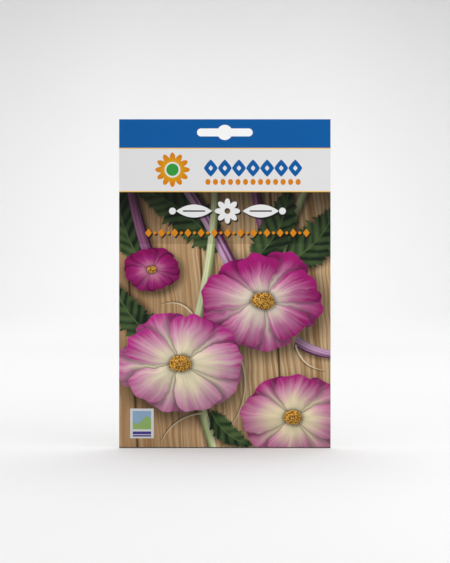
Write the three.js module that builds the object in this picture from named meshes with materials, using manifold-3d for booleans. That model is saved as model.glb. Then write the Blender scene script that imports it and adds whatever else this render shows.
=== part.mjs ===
// Seed packet: two panels of laminated paper, sealed to each other all round their rim,
// with a hang slot through the header and loose seeds in the pocket between them.
// Millimetres. The front faces -Y, +Z is up, and the origin is the middle of the hang slot.

import * as THREE from 'three';
import { mergeVertices } from 'three/addons/utils/BufferGeometryUtils.js';
import Module from 'manifold-3d';

const wasm = await Module();
wasm.setup();

// Panels
const packetWidth = 90;
const packetHeight = 140;
const panelThickness = 0.2;

// Hang slot: a round hole with a round-ended arm on each side
const slotLength = 23.7;
const slotArmHeight = 3.4;
const slotHoleDiameter = 6.5;
const slotBelowTop = 5.6;
const slotArcSegments = 8;

// Seals, flat and without a gap
const sideSeal = 6;
const bottomSeal = 8;
const headerSeal = 13;

// Pocket
const pocketGap = 3.6; // between the panels where the pocket is deepest
const deepestShare = 0.3; // of the pocket's height, up from the bottom seal
const pocketColumns = 14;
const pocketRows = 22;

// Seeds
const seedDiameter = 1.9;
const seedSpacing = 3.3;
const seedJitter = 0.5;
const seedClearance = 0.3; // from each panel
const seedFillTop = 44; // above the bottom seal
const heapCoreThickness = 1;
const heapCoreWidth = 54;
const heapCoreFoot = 10; // above the bottom seal
const heapCoreCrown = 3; // rise of its top edge at the middle
const heapCoreSegments = 16;

// Worked out from the above
const packetTop = slotBelowTop;
const packetBottom = packetTop - packetHeight;
const pocketWidth = packetWidth - 2 * sideSeal;
const pocketTop = packetTop - headerSeal;
const pocketBottom = packetBottom + bottomSeal;
const pocketHeight = pocketTop - pocketBottom;
const heapFoot = pocketBottom + heapCoreFoot;
const heapTop = pocketBottom + seedFillTop - heapCoreCrown;

// A joinable solid from a closed geometry
function toSolid(geometry) {
  const bare = geometry.clone();
  bare.deleteAttribute('normal');
  bare.deleteAttribute('uv');
  const merged = mergeVertices(bare, 1e-5);
  return new wasm.Manifold(
    new wasm.Mesh({
      numProp: 3,
      vertProperties: new Float32Array(merged.attributes.position.array),
      triVerts: new Uint32Array(merged.index.array),
    }),
  );
}

// A geometry from a solid
function toGeometry(solid) {
  const mesh = solid.getMesh();
  const geometry = new THREE.BufferGeometry();
  geometry.setAttribute('position', new THREE.BufferAttribute(new Float32Array(mesh.vertProperties), 3));
  geometry.setIndex(new THREE.BufferAttribute(new Uint32Array(mesh.triVerts), 1));
  geometry.computeVertexNormals();
  return geometry;
}

// How far each panel stands off the middle plane at a point of the front view
function halfGap(x, z) {
  const across = Math.abs(x) / (pocketWidth / 2);
  const share = (z - pocketBottom) / pocketHeight;
  if (across >= 1 || share <= 0 || share >= 1) {
    return 0;
  }
  const rise = 1 - (1 - share / deepestShare) ** 3;
  const fall = (1 + Math.cos((Math.PI * (share - deepestShare)) / (1 - deepestShare))) / 2;
  const upwards = share < deepestShare ? rise : fall;
  return (pocketGap / 2) * (1 - across ** 3) * upwards;
}

// Grid lines over a panel: one strip for each seal, and equal steps over the pocket
function gridLine(index, steps, low, pocketLow, pocketHigh, high) {
  if (index === 0) {
    return low;
  }
  if (index === steps) {
    return high;
  }
  return pocketLow + ((pocketHigh - pocketLow) * (index - 1)) / (steps - 2);
}

// The slot's outline in the front view, around the origin
function slotShape() {
  const holeRadius = slotHoleDiameter / 2;
  const armRadius = slotArmHeight / 2;
  const armCentre = slotLength / 2 - armRadius;
  const meet = Math.asin(armRadius / holeRadius);
  const shape = new THREE.Shape();
  shape.absarc(0, 0, holeRadius, meet, Math.PI - meet);
  shape.absarc(-armCentre, 0, armRadius, Math.PI / 2, (3 * Math.PI) / 2);
  shape.absarc(0, 0, holeRadius, Math.PI + meet, 2 * Math.PI - meet);
  shape.absarc(armCentre, 0, armRadius, -Math.PI / 2, Math.PI / 2);
  return shape;
}

// A cutter for the slot, longer than both panels are thick
function slotCutter() {
  const reach = 10 * panelThickness;
  const geometry = new THREE.ExtrudeGeometry(slotShape(), {
    depth: 2 * reach,
    bevelEnabled: false,
    curveSegments: slotArcSegments,
  });
  geometry.translate(0, 0, -reach);
  geometry.rotateX(Math.PI / 2);
  return toSolid(geometry);
}

// One panel. side is -1 for the front and 1 for the back
function panel(side) {
  const columns = pocketColumns + 2;
  const rows = pocketRows + 2;
  const sheet = new THREE.BoxGeometry(packetWidth, panelThickness, packetHeight, columns, 1, rows);
  const points = sheet.attributes.position;
  for (let i = 0; i < points.count; i += 1) {
    const column = Math.round((points.getX(i) / packetWidth + 0.5) * columns);
    const row = Math.round((points.getZ(i) / packetHeight + 0.5) * rows);
    const edge = packetWidth / 2;
    const x = gridLine(column, columns, -edge, -pocketWidth / 2, pocketWidth / 2, edge);
    const z = gridLine(row, rows, packetBottom, pocketBottom, pocketTop, packetTop);
    const inner = points.getY(i) * side < 0;
    const offset = inner ? 0 : panelThickness;
    points.setXYZ(i, x, side * (offset + halfGap(x, z)), z);
  }
  return toGeometry(toSolid(sheet).subtract(slotCutter()));
}

// Repeatable random numbers from 0 to 1
function randomNumbers(seed) {
  let state = seed;
  return () => {
    state = (Math.imul(state, 1664525) + 1013904223) >>> 0;
    return state / 2 ** 32;
  };
}

// The middle of the heap, which the outer seeds stand out of: half an ellipse with a crowned top
function heapCore() {
  const half = heapCoreWidth / 2;
  const shape = new THREE.Shape();
  shape.absellipse(0, heapTop, half, heapTop - heapFoot, Math.PI, 2 * Math.PI);
  shape.quadraticCurveTo(0, heapTop + 2 * heapCoreCrown, -half, heapTop);
  const geometry = new THREE.ExtrudeGeometry(shape, {
    depth: heapCoreThickness,
    bevelEnabled: false,
    curveSegments: heapCoreSegments,
  });
  geometry.translate(0, 0, -heapCoreThickness / 2);
  geometry.rotateX(Math.PI / 2);
  return geometry;
}

// Whether a point of the front view is over the heap's core
function overCore(x, z) {
  const across = x / (heapCoreWidth / 2);
  if (z > heapTop) {
    return z < heapTop + heapCoreCrown * (1 - across ** 2);
  }
  return across ** 2 + ((heapTop - z) / (heapTop - heapFoot)) ** 2 < 1;
}

// Loose seeds as one heap: staggered rows of them, each where the pocket has room
function seedHeap() {
  const random = randomNumbers(20);
  const radius = seedDiameter / 2;
  const rowStep = (seedSpacing * Math.sqrt(3)) / 2;
  const rowCount = Math.floor(seedFillTop / rowStep);
  const perRow = Math.ceil(pocketWidth / seedSpacing);
  let heap = toSolid(heapCore());
  for (let row = 0; row < rowCount; row += 1) {
    for (let place = 0; place <= perRow; place += 1) {
      const stagger = row % 2 === 0 ? 0 : 0.5;
      const x = (place - perRow / 2 + stagger) * seedSpacing + (random() - 0.5) * seedJitter;
      const z = pocketBottom + (row + 0.5) * rowStep + (random() - 0.5) * seedJitter;
      const play = halfGap(x, z) - radius - seedClearance;
      const shift = (random() * 2 - 1) * Math.min(play, heapCoreThickness / 2);
      const turn = new THREE.Euler(random() * Math.PI, random() * Math.PI, random() * Math.PI);
      if (play > 0 && overCore(x, z)) {
        const seed = new THREE.IcosahedronGeometry(radius, 0);
        seed.applyMatrix4(new THREE.Matrix4().makeRotationFromEuler(turn));
        seed.translate(x, shift, z);
        heap = heap.add(toSolid(seed));
      }
    }
  }
  return toGeometry(heap);
}

// A named piece in its own colour
function part(name, geometry, color, roughness) {
  const material = new THREE.MeshStandardMaterial({ color, roughness, metalness: 0 });
  const mesh = new THREE.Mesh(geometry, material);
  mesh.name = name;
  return mesh;
}

const seedPacket = new THREE.Group();
seedPacket.add(part('front_panel', panel(-1), 0x165b9d, 0.45));
seedPacket.add(part('back_panel', panel(1), 0xe2e2e0, 0.5));
seedPacket.add(part('seeds', seedHeap(), 0x5c3526, 0.6));

export default seedPacket;
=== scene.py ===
import math
import random

import bmesh
import bpy
from mathutils import Matrix, Vector, noise


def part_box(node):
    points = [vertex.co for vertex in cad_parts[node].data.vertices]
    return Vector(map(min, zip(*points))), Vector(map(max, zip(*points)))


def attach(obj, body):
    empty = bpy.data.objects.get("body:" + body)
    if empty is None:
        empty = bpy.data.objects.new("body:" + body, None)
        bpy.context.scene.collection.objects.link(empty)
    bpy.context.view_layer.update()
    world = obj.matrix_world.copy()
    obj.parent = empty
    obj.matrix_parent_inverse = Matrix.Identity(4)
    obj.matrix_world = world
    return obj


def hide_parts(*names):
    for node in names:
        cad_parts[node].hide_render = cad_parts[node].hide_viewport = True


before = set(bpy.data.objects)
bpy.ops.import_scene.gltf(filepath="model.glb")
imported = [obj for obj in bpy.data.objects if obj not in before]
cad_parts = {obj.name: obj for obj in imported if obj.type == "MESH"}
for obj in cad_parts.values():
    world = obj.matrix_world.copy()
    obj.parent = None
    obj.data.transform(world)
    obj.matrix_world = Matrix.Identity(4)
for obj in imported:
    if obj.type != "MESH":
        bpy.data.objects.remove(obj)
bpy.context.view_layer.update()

mm = 0.001

# The sheet's outline, from the frame. The front faces -Y and the panels meet at y = 0
sheetLow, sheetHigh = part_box("front_panel")
sheetWidth = sheetHigh.x - sheetLow.x
sheetHeight = sheetHigh.z - sheetLow.z

# Camera, level and square on to the printed front
shot = {
    "distance": 0.6,
    "pictureWidth": 450,  # pixels, as are the next four
    "pictureHeight": 563,
    "packetLeft": 119.2,
    "packetRight": 330.5,
    "packetTop": 119.3,
}


def addObject(name, data):
    thing = bpy.data.objects.new(name, data)
    bpy.context.collection.objects.link(thing)
    return thing


def addCamera():
    pixel = sheetWidth / (shot["packetRight"] - shot["packetLeft"])
    cameraData = bpy.data.cameras.new("camera")
    cameraData.sensor_fit = "HORIZONTAL"
    cameraData.lens = cameraData.sensor_width * shot["distance"] / (shot["pictureWidth"] * pixel)
    camera = addObject("camera", cameraData)
    camera.location = (
        sheetLow.x + (shot["pictureWidth"] / 2 - shot["packetLeft"]) * pixel,
        -shot["distance"],
        sheetHigh.z - (shot["pictureHeight"] / 2 - shot["packetTop"]) * pixel,
    )
    camera.rotation_euler = (math.pi / 2, 0, 0)
    bpy.context.scene.camera = camera


addCamera()
print("camera placed")


# Node helpers

class Wire:  # an output socket that takes part in sums as a number does
    def __init__(self, tree, socket):
        self.tree = tree
        self.socket = socket

    def __add__(self, other):
        return maths("ADD", self, other)

    def __radd__(self, other):
        return maths("ADD", other, self)

    def __sub__(self, other):
        return maths("SUBTRACT", self, other)

    def __rsub__(self, other):
        return maths("SUBTRACT", other, self)

    def __mul__(self, other):
        return maths("MULTIPLY", self, other)

    def __rmul__(self, other):
        return maths("MULTIPLY", other, self)

    def __truediv__(self, other):
        return maths("DIVIDE", self, other)

    def __pow__(self, other):
        return maths("POWER", self, other)

    def __abs__(self):
        return maths("ABSOLUTE", self)


def connect(tree, value, socket):
    if isinstance(value, Wire):
        tree.links.new(value.socket, socket)
    else:
        socket.default_value = value


def fill(tree, node, settings):  # each input's name or number, and what goes into it
    for label, value in settings.items():
        connect(tree, value, node.inputs[label])


def maths(operation, *values):
    tree = next(value.tree for value in values if isinstance(value, Wire))
    node = tree.nodes.new("ShaderNodeMath")
    node.operation = operation
    fill(tree, node, dict(enumerate(values)))
    return Wire(tree, node.outputs[0])


def ramp(value, low, high):  # 0 at low, 1 at high, smooth between
    node = value.tree.nodes.new("ShaderNodeMapRange")
    node.interpolation_type = "SMOOTHSTEP"
    node.clamp = False  # a smooth step stays within 0 and 1 by itself
    fill(value.tree, node, {"Value": value, "From Min": low, "From Max": high})
    return Wire(value.tree, node.outputs["Result"])


def blend(factor, first, second):  # the first colour at 0, the second at 1
    tree = factor.tree
    node = tree.nodes.new("ShaderNodeMix")
    node.data_type = "RGBA"
    fill(tree, node, {0: factor, 6: first, 7: second})
    return Wire(tree, node.outputs[2])


def ownPoint(tree):  # the piece's own coordinates, in metres
    return Wire(tree, tree.nodes.new("ShaderNodeTexCoord").outputs["Object"])


def split(where):  # its three coordinates
    node = where.tree.nodes.new("ShaderNodeSeparateXYZ")
    connect(where.tree, where, node.inputs[0])
    return [Wire(where.tree, socket) for socket in node.outputs]


def stretch(where, scale, turn):  # turned about Y and scaled
    node = where.tree.nodes.new("ShaderNodeMapping")
    fill(where.tree, node, {"Vector": where, "Rotation": (0, turn, 0), "Scale": scale})
    return Wire(where.tree, node.outputs[0])


def noiseOf(value, dimensions, socketName, scale, detail):
    node = value.tree.nodes.new("ShaderNodeTexNoise")
    node.noise_dimensions = dimensions
    fill(value.tree, node, {socketName: value, "Scale": scale, "Detail": detail})
    return Wire(value.tree, node.outputs[0])


def cloud(where, scale, detail):  # noise in space, from 0 to 1
    return noiseOf(where, "3D", "Vector", scale, detail)


def streaks(value, scale, detail):  # noise along one number, from 0 to 1
    return noiseOf(value, "1D", "W", scale, detail)


def chanceOf(number):  # one random value for each whole number
    node = number.tree.nodes.new("ShaderNodeTexWhiteNoise")
    node.noise_dimensions = "1D"
    connect(number.tree, number, node.inputs["W"])
    return Wire(number.tree, node.outputs["Value"])


def ink(red, green, blue):  # a printed colour, as it shows on a screen
    def linear(value):
        share = value / 255
        return share / 12.92 if share <= 0.04045 else ((share + 0.055) / 1.055) ** 2.4
    return (linear(red), linear(green), linear(blue), 1.0)


def makeGroup(name, inputs):
    tree = bpy.data.node_groups.new(name, "ShaderNodeTree")
    for label, value in inputs.items():
        kind = "NodeSocketColor" if isinstance(value, tuple) else "NodeSocketFloat"
        tree.interface.new_socket(label, in_out="INPUT", socket_type=kind).default_value = value
    entry = tree.nodes.new("NodeGroupInput")
    wires = {label: Wire(tree, entry.outputs[label]) for label in inputs}
    return tree, wires


def closeGroup(tree, **results):  # each result is an output of the same name
    for label in results:
        kind = "NodeSocketColor" if label == "colour" else "NodeSocketFloat"
        tree.interface.new_socket(label, in_out="OUTPUT", socket_type=kind)
    fill(tree, tree.nodes.new("NodeGroupOutput"), results)
    return tree


def useGroup(tree, group, **values):
    node = tree.nodes.new("ShaderNodeGroup")
    node.node_tree = group
    fill(tree, node, values)
    return {socket.name: Wire(tree, socket) for socket in node.outputs}


def startMaterial(name):
    material = bpy.data.materials.new(name)
    material.use_nodes = True
    tree = material.node_tree
    return material, tree, tree.nodes["Principled BSDF"]


def setSurface(shader, tree, paint, roughness, specular):
    fill(tree, shader, {"Base Color": paint, "Roughness": roughness, "Specular IOR Level": specular})


def addBump(shader, tree, height, strength, distance):
    bump = tree.nodes.new("ShaderNodeBump")
    fill(tree, bump, {"Height": height, "Strength": strength, "Distance": distance})
    tree.links.new(bump.outputs["Normal"], shader.inputs["Normal"])


inkEdge = 0.12  # millimetres over which a printed edge fades

# Node groups that the materials share. Most of them begin with the inputs of one of these
spot = {"x": 0.0, "z": 0.0}
centred = {**spot, "centreX": 0.0, "centreZ": 0.0}
bowed = {**spot, "footX": 0.0, "footZ": 0.0, "headX": 0.0, "headZ": 10.0, "bow": 0.0}


# A colour times a number
def makeShade():
    tree, given = makeGroup("shade", {"colour": ink(255, 255, 255), "amount": 1.0})
    grey = tree.nodes.new("ShaderNodeCombineColor")
    for socket in grey.inputs:
        connect(tree, given["amount"], socket)
    node = tree.nodes.new("ShaderNodeMix")
    node.data_type = "RGBA"
    node.blend_type = "MULTIPLY"
    fill(tree, node, {0: 1.0, 6: given["colour"], 7: Wire(tree, grey.outputs[0])})
    return closeGroup(tree, colour=Wire(tree, node.outputs[2]))


shade = makeShade()


def brighten(colour, amount):
    return useGroup(colour.tree, shade, colour=colour, amount=amount)["colour"]


# Where a point lies on the sheet: millimetres from its middle and above its bottom edge
def makeSheetPlace():
    tree, _ = makeGroup("sheet place", {})
    x, _, z = split(ownPoint(tree))
    return closeGroup(tree, x=x / mm, z=(z - sheetLow.z) / mm)


# Unevenness at three sizes
def makeMottle():
    tree, _ = makeGroup("mottle", {})
    where = ownPoint(tree)
    coarse = cloud(where, 32, 2)
    middle = cloud(where, 120, 2)
    fine = cloud(where, 2100, 1)
    return closeGroup(tree, coarse=coarse, middle=middle, fine=fine)


# Coated paper: fine fibres and a soft unevenness
def makePaperFibre():
    tree, _ = makeGroup("paper fibre", {})
    where = ownPoint(tree)
    fine = cloud(where, 5200, 3)
    broad = cloud(where, 90, 2)
    height = fine * 0.7 + broad * 0.3
    tone = 0.985 + 0.02 * fine + 0.01 * broad
    return closeGroup(tree, height=height, tone=tone)


# The pressed ribs of the seals, level lines at the rim of the sheet
def makeSealRibs():
    ribs = {"pitch": 1.2, "sideWidth": 5.2, "footWidth": 7.0, "margin": 0.6, "fade": 0.3}
    tree, given = makeGroup("seal ribs", spot)

    def within(distance, width):
        return ramp(distance, width + ribs["fade"], width) * ramp(distance, 0.0, ribs["margin"])

    side = within(sheetWidth / mm / 2 - abs(given["x"]), ribs["sideWidth"])
    foot = within(given["z"], ribs["footWidth"])
    wave = maths("SINE", given["z"] * (2 * math.pi / ribs["pitch"]))
    height = maths("MAXIMUM", side, foot) * wave
    return closeGroup(tree, height=height)


# A box with rounded corners
def makeRoundedBox():
    tree, given = makeGroup(
        "rounded box",
        {**centred, "halfWidth": 1.0, "halfHeight": 1.0, "corner": 0.0, "softness": 0.1},
    )

    def past(value, centre, half):
        return maths("MAXIMUM", abs(given[value] - given[centre]) - given[half] + given["corner"], 0.0)

    outX = past("x", "centreX", "halfWidth")
    outZ = past("z", "centreZ", "halfHeight")
    edge = (outX * outX + outZ * outZ) ** 0.5 - given["corner"]
    mask = ramp(edge, given["softness"], 0.0)
    return closeGroup(tree, mask=mask)


# A level row of like marks. squareness 1 gives diamonds, 2 gives ovals and more gives blocks.
# shift 0 puts a mark on the centre, and 0.5 puts the centre between two
def makeMarkRow():
    tree, given = makeGroup(
        "mark row",
        {**centred, "pitch": 2.0, "shift": 0.0, "halfSpan": 10.0, "halfWidth": 0.8, "halfHeight": 0.8,
         "squareness": 1.0, "softness": 0.1},
    )
    along = given["x"] - given["centreX"]
    step = along / given["pitch"] - given["shift"]
    local = abs(step - maths("ROUND", step)) * given["pitch"] / given["halfWidth"]
    rise = abs(given["z"] - given["centreZ"]) / given["halfHeight"]
    shape = local ** given["squareness"] + rise ** given["squareness"]
    softness = given["softness"] / given["halfHeight"]
    inRow = ramp(abs(along), given["halfSpan"] + 0.01, given["halfSpan"])
    return closeGroup(tree, mask=ramp(shape, 1.0 + softness, 1.0) * inRow)


# A round ornament with lobes
def makeRosette():
    tree, given = makeGroup(
        "rosette",
        {**centred, "radius": 5.0, "lobes": 8.0, "depth": 0.3, "softness": 0.1},
    )
    offX = given["x"] - given["centreX"]
    offZ = given["z"] - given["centreZ"]
    distance = (offX * offX + offZ * offZ) ** 0.5
    lobe = abs(maths("COSINE", maths("ARCTAN2", offZ, offX) * given["lobes"] / 2))
    edge = given["radius"] * (1.0 - given["depth"] * (1.0 - lobe))
    mask = ramp(distance, edge + given["softness"], edge)
    return closeGroup(tree, mask=mask, distance=distance / given["radius"])


# How far along and across a bowed line a point lies. along runs from 0 to 1, across is in millimetres
def makeAlongLine():
    tree, given = makeGroup("along line", bowed)
    runX = given["headX"] - given["footX"]
    runZ = given["headZ"] - given["footZ"]
    offX = given["x"] - given["footX"]
    offZ = given["z"] - given["footZ"]
    length = (runX * runX + runZ * runZ) ** 0.5
    along = (offX * runX + offZ * runZ) / (length * length)
    arch = along * (1.0 - along) * 4.0 * given["bow"]
    across = (offX * runZ - offZ * runX) / length - arch
    return closeGroup(tree, along=along, across=across, length=length)


# A round stalk with pale streaks along it
def makeStalk(alongLine):
    tree, given = makeGroup(
        "stalk",
        {**bowed, "width": 2.0, "taper": 0.3, "pale": ink(200, 210, 160), "deep": ink(110, 120, 70)},
    )
    line = useGroup(tree, alongLine, **{label: given[label] for label in bowed})
    half = given["width"] / 2 * (1.0 - given["taper"] * line["along"])
    share = line["across"] / half
    within = ramp(line["along"], 0.0, 0.01) * ramp(line["along"], 1.01, 1.0)
    mask = ramp(abs(line["across"]), half + inkEdge, half - inkEdge) * within
    shadow = ramp(abs(line["across"] - half * 0.4 - 0.3), half * 1.6 + 0.5, half * 0.5) * within
    streak = streaks(share + 0.25 * maths("SINE", line["along"] * 4) + given["footX"], 2.2, 3)
    light = ramp(share * 0.8 + 2.4 * (streak - 0.5), 0.9, -0.8)
    bulge = 1.16 - 0.62 * share * share - 0.16 * share
    colour = brighten(blend(light, given["deep"], given["pale"]), bulge)
    return closeGroup(tree, colour=colour, mask=mask, shadow=shadow)


# A pointed leaf with a midrib, side veins and a frilled edge
def makeLeaf(alongLine):
    tree, given = makeGroup(
        "leaf",
        {**bowed, "width": 8.0, "frill": 0.3, "crinkle": 0.5, "pale": ink(110, 140, 80),
         "deep": ink(30, 56, 30)},
    )
    veinPitch = 1.3
    line = useGroup(tree, alongLine, **{label: given[label] for label in bowed})
    across = line["across"]
    along = maths("MAXIMUM", maths("MINIMUM", line["along"], 1.0), 0.0)
    lengthways = along * line["length"]
    crinkle = given["crinkle"]
    lobe = streaks(lengthways * 0.55 + ramp(across, -0.1, 0.1) * 71 + given["footZ"], 1.0, 2)
    profile = maths("SINE", (along ** 0.75) * math.pi) ** 0.8
    plain = given["width"] / 2 * profile
    half = plain * (1.0 + given["frill"] * (lobe - 0.5) * 2)
    share = across / (half + 0.001)
    within = ramp(line["along"], 0.0, 0.01) * ramp(line["along"], 1.0, 0.99)
    mask = ramp(abs(across), half + 0.1, half - 0.15) * within
    shadow = ramp(abs(across - 1.0), plain + 2.4, plain - 1.2) * ramp(profile, 0.02, 0.25)
    rib = ramp(abs(across), 0.5, 0.1)
    slant = lengthways * veinPitch - abs(across) * veinPitch + crinkle * 3
    veins = ramp(maths("SINE", slant), 0.75, 1.0) * 0.45
    farHalf = ramp(share, 0.15, -0.15) * 0.3
    swell = 0.25 * maths("SINE", slant + 1.6)
    fold = maths("MAXIMUM", crinkle * 1.3 - 0.5 + farHalf + swell, 0.0)
    leafColour = blend(maths("MINIMUM", fold, 1.0), given["deep"], given["pale"])
    colour = blend(maths("MAXIMUM", rib * 0.7, veins * 0.55), leafColour, given["pale"])
    return closeGroup(tree, colour=colour, mask=mask, shadow=shadow)


# One ring of like petals round a centre
def makePetalRing():
    tree, given = makeGroup(
        "petal ring",
        {"distance": 0.5, "angle": 0.0, "petals": 5.0, "shift": 0.0, "reach": 1.0, "width": 0.9,
         "draw": 0.0},
    )
    place = given["angle"] * given["petals"] / (2 * math.pi) + given["shift"]
    number = maths("FLOOR", place)
    pick = chanceOf(maths("WRAP", number, given["petals"], 0.0) * 3.7 + given["draw"])
    across = (place - number - 0.5) * 2 / given["width"]
    notch = 1.0 + 0.022 * maths("COSINE", across * 9.0)
    along = given["distance"] / (given["reach"] * (1.0 - 0.12 * pick)) / notch
    edge = along ** 5.0 + abs(across) ** 3.0
    return closeGroup(tree, edge=edge, along=along, across=across, pick=pick)


# An open garden flower, seen from the front: two rings of petals round a seed disc
def makeBlossom(petalRing):
    tree, given = makeGroup(
        "blossom",
        {**centred, "radius": 20.0, "squash": 1.0, "turn": 0.0, "petals": 5.0, "draw": 0.0, "spread": 0.0,
         "bend": 0.5, "grain": 0.5, "rim": ink(150, 20, 110), "body": ink(200, 130, 170),
         "heart": ink(226, 208, 184)},
    )
    lightAngle = 2.2
    rawX = (given["x"] - given["centreX"]) / given["radius"]
    rawZ = (given["z"] - given["centreZ"]) / (given["radius"] * given["squash"])
    offX = rawX + 0.16 * (given["bend"] - 0.5)
    offZ = rawZ - 0.16 * (given["bend"] - 0.5)
    distance = (offX * offX + offZ * offZ) ** 0.5
    heading = maths("ARCTAN2", offZ, offX)
    angle = heading + given["turn"]
    shared = {"distance": distance, "angle": angle, "petals": given["petals"]}
    upper = useGroup(tree, petalRing, **shared, shift=0.0, reach=0.97, width=0.84, draw=given["draw"])
    lower = useGroup(tree, petalRing, **shared, shift=0.5, reach=1.02, width=0.9, draw=given["draw"] + 40.0)
    onTop = ramp(upper["edge"], 1.04, 0.98)
    below = ramp(lower["edge"], 1.04, 0.98)
    underEdge = ramp(upper["edge"], 2.1, 0.95) * (1.0 - onTop)

    def topmost(label):
        return lower[label] + (upper[label] - lower[label]) * onTop

    along, across, pick = topmost("along"), topmost("across"), topmost("pick")
    streak = streaks(across * 6 + pick * 90 + 0.7 * along + given["draw"], 1.0, 3)
    fleck = streaks(across * 19 + pick * 90 + 1.5 * along + given["draw"], 1.0, 2)
    upward = 0.16 * rawZ
    depth = along + 0.16 * across * across + 0.42 * (streak - 0.5) + 0.12 * (pick - 0.5) + upward
    depth = depth - given["spread"]
    colour = blend(ramp(depth, 0.24, 0.7), given["heart"], given["body"])
    colour = blend(ramp(depth, 0.56, 1.02), colour, given["rim"])
    side = across * maths("SINE", lightAngle - heading)
    outward = along * along * maths("COSINE", lightAngle - heading)
    groove = maths("COSINE", across * 8.5) * ramp(along, 0.15, 0.5)
    light = 0.94 + 0.2 * side + 0.22 * outward + 0.06 * groove + 0.3 * (streak - 0.5) + 0.14 * (fleck - 0.5)
    light = light * (1.0 - 0.55 * underEdge) * (1.0 - 0.3 * ramp(distance, 0.34, 0.1))
    colour = brighten(colour, light)

    # The disc of small florets in the middle
    discColour = blend(ramp(given["grain"], 0.4, 0.6), ink(112, 66, 28), ink(226, 172, 70))
    discShade = 0.75 + 0.5 * ramp(rawX * 0.6 - rawZ, 0.16, -0.16)
    disc = ramp(distance + 0.05 * (given["grain"] - 0.5), 0.18, 0.15)
    discRing = ramp(distance, 0.24, 0.17) * 0.5
    colour = brighten(colour, 1.0 - discRing)
    colour = blend(disc, colour, brighten(discColour, discShade))

    mask = maths("MAXIMUM", onTop, below)
    fallX = rawX - 0.06
    fallZ = rawZ + 0.13
    shadow = ramp((fallX * fallX + fallZ * fallZ) ** 0.5, 1.2, 0.8)
    return closeGroup(tree, colour=colour, mask=mask, shadow=shadow)


# Upright wooden boards with fine grain
def makeBoards():
    wood = {"width": 31.0, "lean": 0.05, "shift": 0.2, "pale": ink(220, 189, 148),
            "deep": ink(180, 142, 98), "band": ink(158, 112, 66), "line": ink(138, 98, 62),
            "gap": ink(70, 44, 26)}
    tree, given = makeGroup("boards", {**spot, "coarse": 0.5})
    pores = cloud(stretch(ownPoint(tree), (2600, 1, 60), wood["lean"]), 1.0, 3)
    leant = given["x"] + given["z"] * wood["lean"]
    step = leant / wood["width"] + wood["shift"]
    number = maths("FLOOR", step)
    pick = chanceOf(number + 11.0)
    sway = given["coarse"] - 0.5
    lines = streaks(leant + pick * 60 + sway * 6, 0.75, 3)
    broad = streaks(leant + pick * 60 + sway * 3, 0.16, 1)
    colour = blend(ramp(lines, 0.34, 0.64), wood["deep"], wood["pale"])
    colour = blend(ramp(broad, 0.52, 0.68) * 0.6, colour, wood["band"])
    colour = blend(ramp(pores, 0.5, 0.78) * 0.45, colour, wood["line"])
    fromGap = abs(step - number - 0.5)
    inShade = ramp(given["x"], 10.0, -40.0)
    colour = blend(inShade * 0.4, colour, wood["band"])
    colour = blend(ramp(fromGap, 0.474, 0.495) * 0.85, colour, wood["gap"])
    colour = brighten(colour, 0.84 + 0.16 * pick + 0.5 * sway - 0.1 * inShade)
    return closeGroup(tree, colour=colour)


sheetPlace = makeSheetPlace()
mottle = makeMottle()
paperFibre = makePaperFibre()
sealRibs = makeSealRibs()
roundedBox = makeRoundedBox()
markRow = makeMarkRow()
rosette = makeRosette()
alongLine = makeAlongLine()
stalk = makeStalk(alongLine)
leaf = makeLeaf(alongLine)
petalRing = makePetalRing()
blossom = makeBlossom(petalRing)
boards = makeBoards()
print("node groups made")


# Floor and light

# The backdrop's paper carries painted shade: darker near the middle of the floor, darker as the wall rises
# and darker to each side, in place of the studio light's falloff
backdrop = {
    "floorRadius": 2.0,
    "bendRadius": 1.0,
    "wallHeight": 0.4,
    "bendSteps": 24,
    "turnSteps": 96,
    # painted shade: the floor's tone near the packet, paling towards the far tone
    "nearShade": ink(231, 231, 231),
    "far": ink(254, 254, 254),
    # painted shade: the tone at the top of the wall
    "top": ink(204, 204, 204),
    "farRadius": 2.0,
    "paleFrom": 0.2,  # metres from the middle, as is the next
    "paleTo": 1.4,
    "darkestHeight": 1.0,
    "fade": 2.5,
    "sideShade": 0.095,
    "shadeFrom": 0.2,  # metres to each side, as is the next
    "shadeTo": 0.6,
    "roughness": 0.9,
}


def makeShadedBackdrop():
    material, tree, shader = startMaterial("backdrop paper")
    x, y, z = split(ownPoint(tree))
    fromMiddle = (x * x + y * y) ** 0.5
    away = maths("MINIMUM", fromMiddle / backdrop["farRadius"], 1.0)
    # painted shade, darker towards the packet
    away = (away + ramp(fromMiddle, backdrop["paleFrom"], backdrop["paleTo"])) / 2
    rise = maths("MINIMUM", (z - sheetLow.z) / backdrop["darkestHeight"], 1.0)
    paint = blend(away, backdrop["nearShade"], backdrop["far"])
    # painted shade, darker with height
    paint = blend(maths("MAXIMUM", rise, 0.0) ** backdrop["fade"], paint, backdrop["top"])
    aside = ramp(abs(x), backdrop["shadeFrom"], backdrop["shadeTo"])
    # painted shade, darker to each side
    paint = brighten(paint, 1.0 - backdrop["sideShade"] * aside)
    setSurface(shader, tree, paint, backdrop["roughness"], 0.0)
    return material


def closeMesh(bm, name):
    bmesh.ops.recalc_face_normals(bm, faces=bm.faces)
    mesh = bpy.data.meshes.new(name)
    bm.to_mesh(mesh)
    bm.free()
    return mesh


def verticesOf(parts):
    return [part for part in parts if isinstance(part, bmesh.types.BMVert)]


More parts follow.
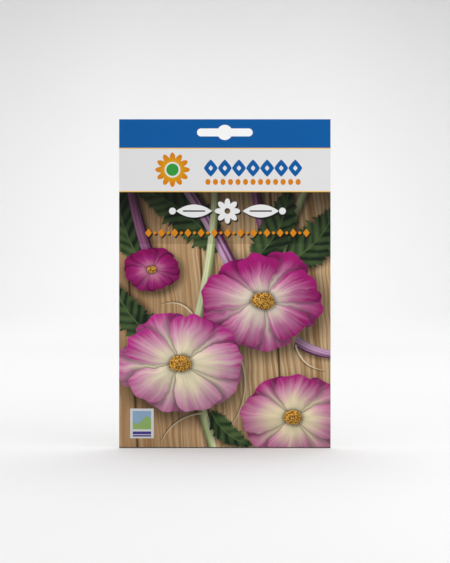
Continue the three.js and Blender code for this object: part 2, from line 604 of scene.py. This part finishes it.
# A round floor that bends up into a low wall on every side
def addBackdrop():
    bm = bmesh.new()
    centre = bm.verts.new((0, 0, sheetLow.z))
    outwards = bmesh.ops.extrude_vert_indiv(bm, verts=[centre])["verts"]
    bmesh.ops.translate(bm, verts=outwards, vec=(0, backdrop["floorRadius"], 0))
    bend = bmesh.ops.spin(
        bm,
        geom=outwards,
        cent=(0, backdrop["floorRadius"], sheetLow.z + backdrop["bendRadius"]),
        axis=(1, 0, 0),
        angle=math.pi / 2,
        steps=backdrop["bendSteps"],
    )["geom_last"]
    upwards = bmesh.ops.extrude_vert_indiv(bm, verts=verticesOf(bend))["verts"]
    bmesh.ops.translate(bm, verts=upwards, vec=(0, 0, backdrop["wallHeight"]))
    bmesh.ops.spin(
        bm,
        geom=bm.verts[:] + bm.edges[:],
        cent=(0, 0, 0),
        axis=(0, 0, 1),
        angle=2 * math.pi,
        steps=backdrop["turnSteps"],
        use_merge=True,
    )
    bmesh.ops.remove_doubles(bm, verts=bm.verts, dist=mm / 10)
    mesh = closeMesh(bm, "backdrop")
    mesh.shade_smooth()
    mesh.materials.append(makeShadedBackdrop())
    piece = addObject("backdrop", mesh)


studio = {
    "sky": 1.1,
    "lamps": {
        "side panel": {"place": (0.3, -0.22, -0.01), "size": 0.16, "power": 0.19, "spread": 150},
        "rear panel": {"place": (0.08, 0.4, 0.55), "size": 0.5, "power": 0.97, "spread": 180},
    },  # places in metres, spreads in degrees
    "aim": (0, 0, -0.06),
}


def addLight():
    scene = bpy.context.scene
    scene.view_settings.view_transform = "Standard"
    world = bpy.data.worlds.new("studio")
    scene.world = world
    world.use_nodes = True
    sky = world.node_tree.nodes["Background"]
    sky.inputs["Color"].default_value = (1, 1, 1, 1)
    sky.inputs["Strength"].default_value = studio["sky"]
    for name, lamp in studio["lamps"].items():
        lightData = bpy.data.lights.new(name, "AREA")
        lightData.size = lamp["size"]
        lightData.energy = lamp["power"]
        lightData.spread = math.radians(lamp["spread"])
        light = addObject(name, lightData)
        light.location = lamp["place"]
        light.rotation_euler = (Vector(studio["aim"]) - light.location).to_track_quat("-Z", "Y").to_euler()
        light.visible_camera = False


addBackdrop()
addLight()
print("floor and light made")


# Bands that both prints share. Every place and size of a print is in millimetres on the sheet

bands = {
    "headerFoot": 127.8,
    "panelFoot": 109.4,
    "ruleWidth": 0.37,
    "header": ink(8, 95, 168),
    "panel": ink(236, 236, 236),
    "rule": ink(250, 200, 84),
}

emblem = {
    "flower": {"centreX": -22.3, "centreZ": 118.5, "radius": 7.3, "lobes": 12, "depth": 0.34},
    "whiteShare": 0.47,
    "greenShare": 0.37,
    "orange": ink(222, 132, 20),
    "gold": ink(226, 170, 16),
    "green": ink(58, 158, 64),
    "blue": ink(8, 95, 168),
    "rowX": 12.0,
    "diamonds": 7,
    "diamondsZ": 119.2,
    "diamondPitch": 6.0,
    "diamondHalfHeight": 3.6,
    "diamondGap": 0.2,
    "notchHalfWidth": 0.9,
    "notchHalfHeight": 1.1,
    "ovals": 13,
    "ovalsZ": 113.3,
    "ovalPitch": 3.2,
    "ovalHalfWidth": 1.05,
    "ovalHalfHeight": 1.25,
}


def drawBands(paint, z):
    paint = blend(ramp(z, bands["panelFoot"] - 0.05, bands["panelFoot"] + 0.05), paint, bands["panel"])
    paint = blend(ramp(z, bands["headerFoot"] - 0.05, bands["headerFoot"] + 0.05), paint, bands["header"])
    half = bands["ruleWidth"] / 2
    for ruleZ in (bands["headerFoot"], bands["panelFoot"]):
        fromRule = abs(z - ruleZ + half)
        paint = blend(ramp(fromRule, half + 0.06, half - 0.02), paint, bands["rule"])
    return paint


# A lobed rosette, a row of diamonds and a row of ovals on the white band
def drawEmblem(tree, paint, x, z):
    flower = useGroup(tree, rosette, x=x, z=z, **emblem["flower"], softness=inkEdge)
    petals = blend(ramp(flower["distance"], 0.3, 0.95), emblem["gold"], emblem["orange"])
    paint = blend(flower["mask"], paint, petals)
    for share, colour in ((emblem["whiteShare"], bands["panel"]), (emblem["greenShare"], emblem["green"])):
        paint = blend(ramp(flower["distance"], share, share - 0.02), paint, colour)
    row = {"x": x, "z": z, "centreX": emblem["rowX"], "softness": inkEdge}
    pitch = emblem["diamondPitch"]
    for halfWidth, halfHeight, colour in (
        ((pitch - emblem["diamondGap"]) / 2, emblem["diamondHalfHeight"], emblem["blue"]),
        (emblem["notchHalfWidth"], emblem["notchHalfHeight"], bands["panel"]),
    ):
        diamonds = useGroup(tree, markRow, **row, centreZ=emblem["diamondsZ"], pitch=pitch,
                            halfSpan=emblem["diamonds"] / 2 * pitch, halfWidth=halfWidth,
                            halfHeight=halfHeight, squareness=1.15)
        paint = blend(diamonds["mask"], paint, colour)
    ovals = useGroup(tree, markRow, **row, centreZ=emblem["ovalsZ"], pitch=emblem["ovalPitch"],
                     halfSpan=emblem["ovals"] / 2 * emblem["ovalPitch"], halfWidth=emblem["ovalHalfWidth"],
                     halfHeight=emblem["ovalHalfHeight"], squareness=2.0)
    return blend(ovals["mask"], paint, emblem["orange"])


# Front print: garden flowers on boards under a dark strip

title = {
    "centreX": 1.1,
    "centreZ": 100.9,
    "flowerRadius": 5.3,
    "wingMiddle": 14.2,
    "wingHalfLength": 7.6,
    "wingHalfHeight": 2.7,
    "dotFrom": 23.4,
    "dotRadius": 1.4,
    "rowZ": 91.6,
    "rowPitch": 5.6,
    "rowDiamonds": 13,
    "rowHalfWidth": 1.35,
    "rowHalfHeight": 1.7,
    "rowDotRadius": 0.6,
    "white": ink(240, 240, 240),
    "orange": ink(224, 138, 26),
    "shadow": ink(14, 12, 12),
    "shadowX": 0.5,
    "shadowZ": -0.6,
    "shadowSoftness": 0.5,
    "shadowDepth": 0.85,
    "stripFoot": 86.9,
    "stripDepth": 0.26,
    "stripTopDepth": 0.6,
    # painted shade: a dark line along the bottom edge, where the packet meets the floor; its height in
    # millimetres, then its colour
    "footShadeHeight": 0.5,
    "footShade": ink(72, 66, 60),
}

corner = {
    "centreX": -35.3,
    "centreZ": 10.5,
    "halfWidth": 4.95,
    "halfHeight": 6.25,
    "blockHalf": 3.85,
    "blockRise": 1.4,
    "bars": ((4.05, 0.55), (5.3, 0.25)),  # each one's drop below the middle, and its half height
    "white": ink(216, 216, 216),
    "green": ink(146, 178, 106),
    "blue": ink(142, 172, 200),
    "violet": ink(72, 62, 138),
}

purpleStalk = {"pale": ink(200, 162, 192), "deep": ink(108, 44, 96)}
darkStalk = {"pale": ink(166, 108, 146), "deep": ink(74, 24, 60)}
greenStalk = {"pale": ink(220, 224, 180), "deep": ink(150, 164, 104)}
tendril = {"pale": ink(232, 216, 186), "deep": ink(196, 172, 136), "width": 1.0, "taper": 0.8}
darkLeaf = {"pale": ink(88, 112, 66), "deep": ink(22, 38, 22), "frill": 0.5}


def between(foot, head, **look):  # foot and head are each an x and a z
    return {"footX": foot[0], "footZ": foot[1], "headX": head[0], "headZ": head[1], **look}


backLeaves = [
    between((-2, 84), (-40, 112), bow=4, width=17, **darkLeaf),
    between((24, 78), (48, 104), bow=4, width=17, **darkLeaf),
    between((-36, 80), (-46, 116), bow=-3, width=15, **darkLeaf),
]

stalks = [
    between((-30, 76), (-41, 116), bow=-1, width=5.2, **darkStalk),
    between((6, 70), (-22, 118), bow=2, width=5.6, **purpleStalk),
    between((-15, 42), (-4, 120), bow=3, width=4.2, **greenStalk),
    between((24, 74), (12, 118), bow=-2, width=5.8, **darkStalk),
    between((21, 72), (40, 120), bow=-2, width=4.0, **greenStalk),
    between((-20, 34), (-4, -8), bow=-3, width=4.6, **greenStalk),
    between((30, 46), (50, 40), bow=2, width=4.6, **purpleStalk),
]

leaves = [
    between((12, 80), (27, 112), bow=4, width=15, **darkLeaf),
    between((-28, 46), (-47, 70), bow=-3, width=13, **darkLeaf),
    between((-6, 16), (12, 1), bow=3, width=9, **darkLeaf),
]

tendrils = [
    between((-9, 15), (-27, 3), bow=3, **tendril),
    between((30, 44), (43, 33), bow=3, **tendril),
    between((-13, 56), (-27, 61), bow=3, **tendril),
    between((6, 40), (3, 10), bow=-4, **tendril),
]

blossoms = [
    dict(centreX=-31, centreZ=76, radius=13, squash=0.78, turn=0.4, petals=4, draw=3,
         rim=ink(134, 12, 88), body=ink(168, 44, 122), heart=ink(206, 128, 160)),
    dict(centreX=16, centreZ=63, radius=27, squash=0.82, turn=0.2, petals=5, draw=8,
         rim=ink(160, 24, 110), body=ink(200, 122, 164), heart=ink(234, 220, 200)),
    dict(centreX=29, centreZ=13, radius=23, squash=0.84, turn=0.9, petals=4, draw=5, spread=0.1,
         rim=ink(160, 34, 112), body=ink(208, 146, 170), heart=ink(236, 222, 184)),
    dict(centreX=-19, centreZ=36, radius=28, squash=0.8, turn=0.55, petals=5, draw=1, spread=0.1,
         rim=ink(178, 44, 130), body=ink(216, 160, 184), heart=ink(240, 228, 194)),
]


def drawPicture(tree, x, z):
    uneven = useGroup(tree, mottle)
    paint = useGroup(tree, boards, x=x, z=z, coarse=uneven["coarse"])["colour"]
    forLeaf = {"crinkle": uneven["middle"]}
    forBlossom = {"bend": uneven["middle"], "grain": uneven["fine"]}
    for group, things, texture, depth in (
        (leaf, backLeaves, forLeaf, 0.7),
        (stalk, stalks, {}, 0.6),
        (leaf, leaves, forLeaf, 0.65),
        (stalk, tendrils, {}, 0.4),
        (blossom, blossoms, forBlossom, 0.72),
    ):
        for thing in things:
            drawn = useGroup(tree, group, x=x, z=z, **texture, **thing)
            paint = brighten(paint, 1.0 - depth * drawn["shadow"])
            paint = blend(drawn["mask"], paint, drawn["colour"])
    return paint


# A rosette between two slit leaves and two dots
def makeTitleOrnament():
    tree, given = makeGroup("title ornament", {**spot, "softness": inkEdge})
    soft = given["softness"]
    middle = useGroup(tree, rosette, x=given["x"], z=given["z"], radius=title["flowerRadius"], lobes=8,
                      depth=0.42, softness=soft)
    eye = ramp(middle["distance"], 0.2, 0.26)
    fromMiddle = abs(given["x"])
    upward = abs(given["z"])
    wingShare = (fromMiddle - title["wingMiddle"]) / title["wingHalfLength"]
    lens = title["wingHalfHeight"] * (1.0 - wingShare * wingShare) - upward
    inWing = ramp(abs(wingShare), 1.0, 0.98)
    slit = ramp(upward, 0.24, 0.36) + ramp(abs(wingShare), 0.6, 0.64)
    wing = ramp(lens, 0.0 - soft, 0.0) * inWing * maths("MINIMUM", slit, 1.0)
    dot = useGroup(tree, rosette, x=fromMiddle, z=given["z"], centreX=title["dotFrom"],
                   radius=title["dotRadius"], lobes=2, depth=0, softness=soft)
    mask = maths("MAXIMUM", maths("MAXIMUM", middle["mask"] * eye, wing), dot["mask"])
    return closeGroup(tree, mask=mask)


titleOrnament = makeTitleOrnament()


def drawTitle(tree, paint, x, z):
    shadowLook = (title["shadowX"], title["shadowZ"], title["shadowSoftness"], title["shadowDepth"])
    plainLook = (0.0, 0.0, inkEdge, 1.0)
    for (offX, offZ, softness, strength), markInk, rowInk in (
        (shadowLook, title["shadow"], title["shadow"]),
        (plainLook, title["white"], title["orange"]),
    ):
        fromX = x - title["centreX"] - offX
        fromZ = z - title["centreZ"] - offZ
        mark = useGroup(tree, titleOrnament, x=fromX, z=fromZ, softness=softness)
        paint = blend(mark["mask"] * strength, paint, markInk)
        row = {"x": fromX, "z": z, "centreZ": title["rowZ"] + offZ, "pitch": title["rowPitch"],
               "softness": softness}
        diamonds = useGroup(tree, markRow, **row, halfSpan=title["rowDiamonds"] / 2 * title["rowPitch"],
                            halfWidth=title["rowHalfWidth"], halfHeight=title["rowHalfHeight"],
                            squareness=1.1)
        dots = useGroup(tree, markRow, **row, shift=0.5,
                        halfSpan=(title["rowDiamonds"] - 1) / 2 * title["rowPitch"],
                        halfWidth=title["rowDotRadius"], halfHeight=title["rowDotRadius"], squareness=2.0)
        rowMask = maths("MAXIMUM", diamonds["mask"], dots["mask"])
        paint = blend(rowMask * strength, paint, rowInk)
    return paint


# The small white card at the lower left
def drawCorner(tree, paint, x, z):
    place = {"x": x, "z": z, "centreX": corner["centreX"], "softness": 0.15}
    card = useGroup(tree, roundedBox, **place, centreZ=corner["centreZ"], halfWidth=corner["halfWidth"],
                    halfHeight=corner["halfHeight"])
    paint = blend(card["mask"], paint, corner["white"])
    blockZ = corner["centreZ"] + corner["blockRise"]
    block = useGroup(tree, roundedBox, **place, centreZ=blockZ, halfWidth=corner["blockHalf"],
                     halfHeight=corner["blockHalf"])
    hill = z - blockZ - 1.6 * maths("SINE", (x - corner["centreX"]) * 0.75)
    paint = blend(block["mask"], paint, blend(ramp(hill, -0.2, 0.2), corner["green"], corner["blue"]))
    for drop, halfHeight in corner["bars"]:
        bar = useGroup(tree, roundedBox, **place, centreZ=corner["centreZ"] - drop,
                       halfWidth=corner["blockHalf"], halfHeight=halfHeight)
        paint = blend(bar["mask"], paint, corner["violet"])
    return paint


def drawFront(tree):
    place = useGroup(tree, sheetPlace)
    x, z = place["x"], place["z"]
    paint = drawPicture(tree, x, z)
    strip = ramp(z, title["stripFoot"] - 0.3, title["stripFoot"] + 0.3)
    upper = ramp(z, title["stripFoot"], bands["panelFoot"])
    paint = brighten(paint, 1.0 - title["stripDepth"] * strip - title["stripTopDepth"] * upper)
    paint = drawTitle(tree, paint, x, z)
    paint = drawCorner(tree, paint, x, z)
    # painted shade: a dark line along the sheet's bottom edge, where the packet meets the floor
    paint = blend(ramp(z, title["footShadeHeight"], title["footShadeHeight"] - 0.15), paint, title["footShade"])
    paint = drawBands(paint, z)
    return drawEmblem(tree, paint, x, z)


# Back print: a year's chart, three signs and ruled lines

backArt = {
    "paper": ink(234, 232, 222),
    "border": ink(0, 88, 160),
    "borderInset": 3.5,
    "borderWidth": 0.4,
    "months": 12,
    "chartZ": 94.0,
    "chartPitch": 5.8,
    "chartRows": 6.0,
    "cellHalf": 2.45,
    "tint": ink(206, 220, 232),
    "empty": ink(236, 240, 242),
    "green": ink(92, 164, 80),
    "greenMonths": (2, 5),  # first and last, counted from 0
    "orange": ink(226, 144, 36),
    "orangeMonths": (6, 9),
    "signZ": 67.0,
    "signSpacing": 24.0,
    "signRadius": 8.2,
    "sun": ink(228, 160, 30),
    "drop": ink(40, 124, 190),
    "lineTop": 48.0,
    "lineFoot": 14.0,
    "linePitch": 4.25,
    "lineHalfSpan": 35.0,
    "line": ink(150, 160, 170),
}


def drawChart(tree, paint, x, z):
    pitch = backArt["chartPitch"]
    rows = backArt["chartRows"]
    half = backArt["months"] / 2 * pitch
    plate = useGroup(tree, roundedBox, x=x, z=z, centreZ=backArt["chartZ"], halfWidth=half + 1.2,
                     halfHeight=rows + 1.6, corner=1.5)
    paint = blend(plate["mask"], paint, backArt["tint"])
    column = maths("FLOOR", (x + half) / pitch)
    for rise, name in ((rows / 2, "green"), (-rows / 2, "orange")):
        cells = useGroup(tree, markRow, x=x, z=z, centreZ=backArt["chartZ"] + rise, pitch=pitch, shift=0.5,
                         halfSpan=half, halfWidth=backArt["cellHalf"], halfHeight=backArt["cellHalf"],
                         squareness=8.0)
        first, last = backArt[name + "Months"]
        chosen = ramp(column, first - 0.6, first - 0.4) * ramp(column, last + 0.6, last + 0.4)
        paint = blend(cells["mask"], paint, blend(chosen, backArt["empty"], backArt[name]))
    return paint


def drawSigns(tree, paint, x, z):
    centreZ = backArt["signZ"]
    spacing = backArt["signSpacing"]
    radius = backArt["signRadius"]
    for place in (-1, 0, 1):
        disc = useGroup(tree, rosette, x=x, z=z, centreX=place * spacing, centreZ=centreZ, radius=radius,
                        lobes=2, depth=0)
        paint = blend(disc["mask"], paint, backArt["border"])
        paint = blend(ramp(disc["distance"], 0.94, 0.92), paint, backArt["empty"])
    sun = useGroup(tree, rosette, x=x, z=z, centreX=-spacing, centreZ=centreZ, radius=0.7 * radius,
                   lobes=12, depth=0.4)
    paint = blend(sun["mask"], paint, backArt["sun"])
    paint = blend(ramp(sun["distance"], 0.56, 0.53), paint, backArt["empty"])
    paint = blend(ramp(sun["distance"], 0.46, 0.43), paint, backArt["sun"])
    isTip = ramp(z, centreZ - 1.4, centreZ - 1.3)
    drop = useGroup(tree, markRow, x=x, z=z, centreZ=centreZ - 1.4, pitch=40.0, halfSpan=radius,
                    halfWidth=0.38 * radius, halfHeight=0.38 * radius * (1.0 + isTip),
                    squareness=2.0 - 0.8 * isTip)
    paint = blend(drop["mask"], paint, backArt["drop"])
    for lean in (-1, 1):
        sprout = useGroup(tree, leaf, x=x, z=z, footX=spacing, footZ=centreZ - 1.0,
                          headX=spacing + lean * 0.62 * radius, headZ=centreZ + 0.55 * radius,
                          bow=lean * 0.8, width=3.4, frill=0, pale=ink(132, 188, 92), deep=ink(50, 128, 52))
        paint = blend(sprout["mask"], paint, sprout["colour"])
    stem = useGroup(tree, roundedBox, x=x, z=z, centreX=spacing, centreZ=centreZ - 0.38 * radius,
                    halfWidth=0.35, halfHeight=0.32 * radius, corner=0.3)
    return blend(stem["mask"], paint, backArt["green"])


def drawBack(tree):
    place = useGroup(tree, sheetPlace)
    x = 0.0 - place["x"]  # so that the back reads from its own left
    z = place["z"]
    middleZ = (bands["panelFoot"] - bands["ruleWidth"]) / 2
    inset = backArt["borderInset"]
    boxes = [
        useGroup(tree, roundedBox, x=x, z=z, centreZ=middleZ, halfWidth=sheetWidth / mm / 2 - inner,
                 halfHeight=middleZ - inner, corner=2.5 - inner + inset)["mask"]
        for inner in (inset, inset + backArt["borderWidth"])
    ]
    tone = useGroup(tree, mottle)["coarse"]
    paint = brighten(blend(boxes[0] - boxes[1], backArt["paper"], backArt["border"]), 0.99 + 0.02 * tone)
    paint = drawChart(tree, paint, x, z)
    paint = drawSigns(tree, paint, x, z)
    step = z / backArt["linePitch"]
    line = ramp(abs(step - maths("ROUND", step)) * backArt["linePitch"], 0.22, 0.14)
    line = line * ramp(abs(x), backArt["lineHalfSpan"] + 0.1, backArt["lineHalfSpan"])
    line = line * ramp(z, backArt["lineFoot"], backArt["lineFoot"] + 0.1)
    line = line * ramp(z, backArt["lineTop"] + 0.1, backArt["lineTop"])
    paint = blend(line, paint, backArt["line"])
    paint = drawBands(paint, z)
    return drawEmblem(tree, paint, x, z)


# Coated paper with a print on it, and bare at its cut edges

paper = {
    "inkTone": 0.85,
    "roughness": 0.42,
    "roughnessSpread": 0.12,
    "specular": 0.1,
    "bumpStrength": 0.3,
    "bumpDistance": 0.02 * mm,
    "fibreShare": 0.25,
    "ribShare": 0.15,
    "corePale": ink(236, 235, 230),
    "coreDeep": ink(214, 212, 206),
    "coreRoughness": 0.85,
    "coreSpecular": 0.2,
}


def makePrint(name, draw):
    material, tree, shader = startMaterial(name)
    fibre = useGroup(tree, paperFibre)
    ribs = useGroup(tree, sealRibs, **useGroup(tree, sheetPlace))
    paint = brighten(draw(tree), fibre["tone"] * paper["inkTone"])
    roughness = paper["roughness"] + paper["roughnessSpread"] * (fibre["height"] - 0.5)
    setSurface(shader, tree, paint, roughness, paper["specular"])
    height = paper["fibreShare"] * fibre["height"] + paper["ribShare"] * ribs["height"]
    addBump(shader, tree, height, paper["bumpStrength"], paper["bumpDistance"])
    return material


def makePaperCore():
    material, tree, shader = startMaterial("paper core")
    paint = blend(useGroup(tree, paperFibre)["height"], paper["coreDeep"], paper["corePale"])
    setSurface(shader, tree, paint, paper["coreRoughness"], paper["coreSpecular"])
    return material


frontPrint = makePrint("front print", drawFront)
backPrint = makePrint("back print", drawBack)
paperCore = makePaperCore()
print("prints made")


# Panels

packet = {
    "thickness": 0.2 * mm,
    "sideSeal": 6 * mm,
    "footSeal": 8 * mm,
    "headerSeal": 13 * mm,
    "gap": 3.6 * mm,
    "deepest": 0.3,  # share of the pocket's height
    "cell": 1 * mm,
    "pucker": 0.1 * mm,
    "puckerReach": 14 * mm,
    "puckerLength": 16 * mm,
    "puckerHeight": 9 * mm,
    "sharpAngle": 40,  # degrees
    "printedFrom": 0.7,  # how squarely a face looks outwards to be printed
}

pocketHalfWidth = sheetWidth / 2 - packet["sideSeal"]
pocketFoot = sheetLow.z + packet["footSeal"]
pocketTop = sheetHigh.z - packet["headerSeal"]

slot = {
    "length": 23.7 * mm,
    "armHeight": 3.4 * mm,
    "holeWidth": 6.5 * mm,
    "segments": 64,
}


def halfGap(x, z):  # how far a panel stands off the plane where the seals meet
    across = abs(x) / pocketHalfWidth
    share = (z - pocketFoot) / (pocketTop - pocketFoot)
    if across >= 1 or share <= 0 or share >= 1:
        return 0.0
    rise = 1 - (1 - share / packet["deepest"]) ** 3
    fall = (1 + math.cos(math.pi * (share - packet["deepest"]) / (1 - packet["deepest"]))) / 2
    return packet["gap"] / 2 * (1 - across ** 3) * (rise if share < packet["deepest"] else fall)


def pucker(x, z, side):  # a faint ripple near the seals
    inside = min(pocketHalfWidth - abs(x), z - pocketFoot)
    if inside <= 0 or halfGap(x, z) == 0:
        return 0.0
    fade = math.sin(math.pi * min(inside / packet["puckerReach"], 1.0))
    ripple = noise.noise(Vector((x / packet["puckerLength"], z / packet["puckerHeight"], 5.0 * side)))
    return packet["pucker"] * fade * ripple * min(halfGap(x, z) / mm, 1.0)


def makeCutter(name, width, arm):  # a round bar through the sheet, drawn out by arm to each side
    bm = bmesh.new()
    ring = bmesh.ops.create_circle(bm, cap_ends=True, radius=width / 2, segments=slot["segments"])["verts"]
    bmesh.ops.rotate(bm, verts=ring, matrix=Matrix.Rotation(math.pi / slot["segments"], 3, "Z"))
    for vertex in ring:
        vertex.co.x += math.copysign(arm, vertex.co.x)
    bmesh.ops.translate(bm, verts=ring, vec=(0, 0, -mm))
    lifted = bmesh.ops.extrude_face_region(bm, geom=bm.faces[:])["geom"]
    bmesh.ops.translate(bm, verts=verticesOf(lifted), vec=(0, 0, 2 * mm))
    bmesh.ops.rotate(bm, verts=bm.verts, matrix=Matrix.Rotation(math.pi / 2, 3, "X"))
    return addObject(name, closeMesh(bm, name))


def cutSlot(piece):
    armReach = (slot["length"] - slot["armHeight"]) / 2
    cutters = [
        makeCutter("slot arms", slot["armHeight"], armReach),
        makeCutter("slot hole", slot["holeWidth"], 0.0),
    ]
    for cutter in cutters:
        cut = piece.modifiers.new(cutter.name, "BOOLEAN")
        cut.operation = "DIFFERENCE"
        cut.solver = "EXACT"
        cut.object = cutter
    graph = bpy.context.evaluated_depsgraph_get()
    mesh = bpy.data.meshes.new_from_object(piece.evaluated_get(graph))
    piece.modifiers.clear()
    piece.data = mesh
    for cutter in cutters:
        bpy.data.objects.remove(cutter)


def addPanel(name, node, side, printed):
    bm = bmesh.new()
    bmesh.ops.create_grid(bm, x_segments=round(sheetWidth / packet["cell"]),
                          y_segments=round(sheetHeight / packet["cell"]), size=0.5)
    bmesh.ops.scale(bm, verts=bm.verts, vec=(sheetWidth, sheetHeight, 1))
    bmesh.ops.rotate(bm, verts=bm.verts, matrix=Matrix.Rotation(math.pi / 2, 3, "X"))
    bmesh.ops.translate(bm, verts=bm.verts, vec=(0, 0, (sheetLow.z + sheetHigh.z) / 2))
    for vertex in bm.verts:
        vertex.co.y = side * (halfGap(vertex.co.x, vertex.co.z) + pucker(vertex.co.x, vertex.co.z, side))
    outer = bmesh.ops.extrude_face_region(bm, geom=bm.faces[:])["geom"]
    bmesh.ops.translate(bm, verts=verticesOf(outer), vec=(0, side * packet["thickness"], 0))
    piece = addObject(name, closeMesh(bm, name))
    cutSlot(piece)
    piece.data.materials.clear()
    piece.data.materials.append(printed)
    piece.data.materials.append(paperCore)
    for polygon in piece.data.polygons:
        polygon.use_smooth = True
        polygon.material_index = 0 if polygon.normal.y * side > packet["printedFrom"] else 1
    piece.data.set_sharp_from_angle(angle=math.radians(packet["sharpAngle"]))
    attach(piece, "root")
    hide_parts(node)


addPanel("frontPanel", "front_panel", -1, frontPrint)
addPanel("backPanel", "back_panel", 1, backPrint)
print("panels made")


# Loose seeds, settled low in the pocket in three layers

seedFill = {
    "diameter": 1.8 * mm,
    "spread": 0.12,  # share by which one seed differs from another
    "spacing": 2.15 * mm,
    "jitter": 0.3 * mm,
    "layerStep": 0.85 * mm,
    "room": 1.15 * mm,  # half the pocket's depth that the middle layer needs
    "halfWidth": 27 * mm,
    "foot": 10 * mm,  # above the bottom seal, as is the next
    "top": 44 * mm,
    "crown": 3 * mm,
    "flatness": 0.86,
    "around": 8,
    "rings": 6,
    "draw": 20,
    "pale": ink(146, 92, 64),
    "deep": ink(70, 36, 24),
    "net": ink(176, 128, 96),
    "netScale": 5200,
    "toneScale": 420,
    "roughness": 0.62,
    "specular": 0.3,
    "bumpStrength": 0.5,
    "bumpDistance": 0.04 * mm,
}


def makeSeedCoat():
    material, tree, shader = startMaterial("seed coat")
    where = ownPoint(tree)
    cells = tree.nodes.new("ShaderNodeTexVoronoi")
    cells.feature = "DISTANCE_TO_EDGE"
    fill(tree, cells, {"Vector": where, "Scale": seedFill["netScale"]})
    net = ramp(Wire(tree, cells.outputs["Distance"]), 0.12, 0.02)
    tone = cloud(where, seedFill["toneScale"], 2)
    paint = blend(ramp(tone, 0.38, 0.62), seedFill["deep"], seedFill["pale"])
    paint = blend(net * 0.35, paint, seedFill["net"])
    setSurface(shader, tree, paint, seedFill["roughness"], seedFill["specular"])
    addBump(shader, tree, net, seedFill["bumpStrength"], seedFill["bumpDistance"])
    return material


def overHeap(x, z):
    across = x / seedFill["halfWidth"]
    shoulder = pocketFoot + seedFill["top"] - seedFill["crown"]
    if z > shoulder:
        return z < shoulder + seedFill["crown"] * (1 - across ** 2)
    depth = (shoulder - z) / (shoulder - pocketFoot - seedFill["foot"])
    return across ** 2 + depth ** 2 < 1


def addSeeds():
    chance = random.Random(seedFill["draw"])
    spacing = seedFill["spacing"]
    jitter = seedFill["jitter"]
    rowStep = spacing * math.sqrt(3) / 2
    rowCount = math.ceil(seedFill["top"] / rowStep)
    perRow = math.ceil(2 * seedFill["halfWidth"] / spacing)
    oneSeed = bpy.data.meshes.new("one seed")
    bm = bmesh.new()
    count = 0
    for layer in (-1, 0, 1):
        for row in range(rowCount):
            for place in range(perRow + 1):
                column = place - perRow / 2 + row % 2 / 2 + layer / 3
                x = column * spacing + chance.uniform(-jitter, jitter)
                z = pocketFoot + (row + 0.5) * rowStep + chance.uniform(-jitter, jitter)
                depth = seedFill["room"] + abs(layer) * seedFill["layerStep"]
                if not overHeap(x, z) or halfGap(x, z) < depth:
                    continue
                size = seedFill["diameter"] / 2 * (1 + chance.uniform(-1, 1) * seedFill["spread"])
                y = layer * seedFill["layerStep"]
                pose = Matrix.Translation((x, y, z))
                for axis in "XY":
                    pose = pose @ Matrix.Rotation(chance.uniform(0, math.pi), 4, axis)
                pose = pose @ Matrix.Diagonal((1, 1, seedFill["flatness"], 1))
                seed = bmesh.new()
                bmesh.ops.create_uvsphere(seed, u_segments=seedFill["around"], v_segments=seedFill["rings"],
                                          radius=size, matrix=pose)
                seed.to_mesh(oneSeed)
                seed.free()
                bm.from_mesh(oneSeed)
                count += 1
    bpy.data.meshes.remove(oneSeed)
    mesh = closeMesh(bm, "looseSeeds")
    mesh.shade_smooth()
    mesh.materials.append(makeSeedCoat())
    piece = addObject("looseSeeds", mesh)
    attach(piece, "root")
    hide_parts("seeds")
    print("seeds made:", count)


addSeeds()
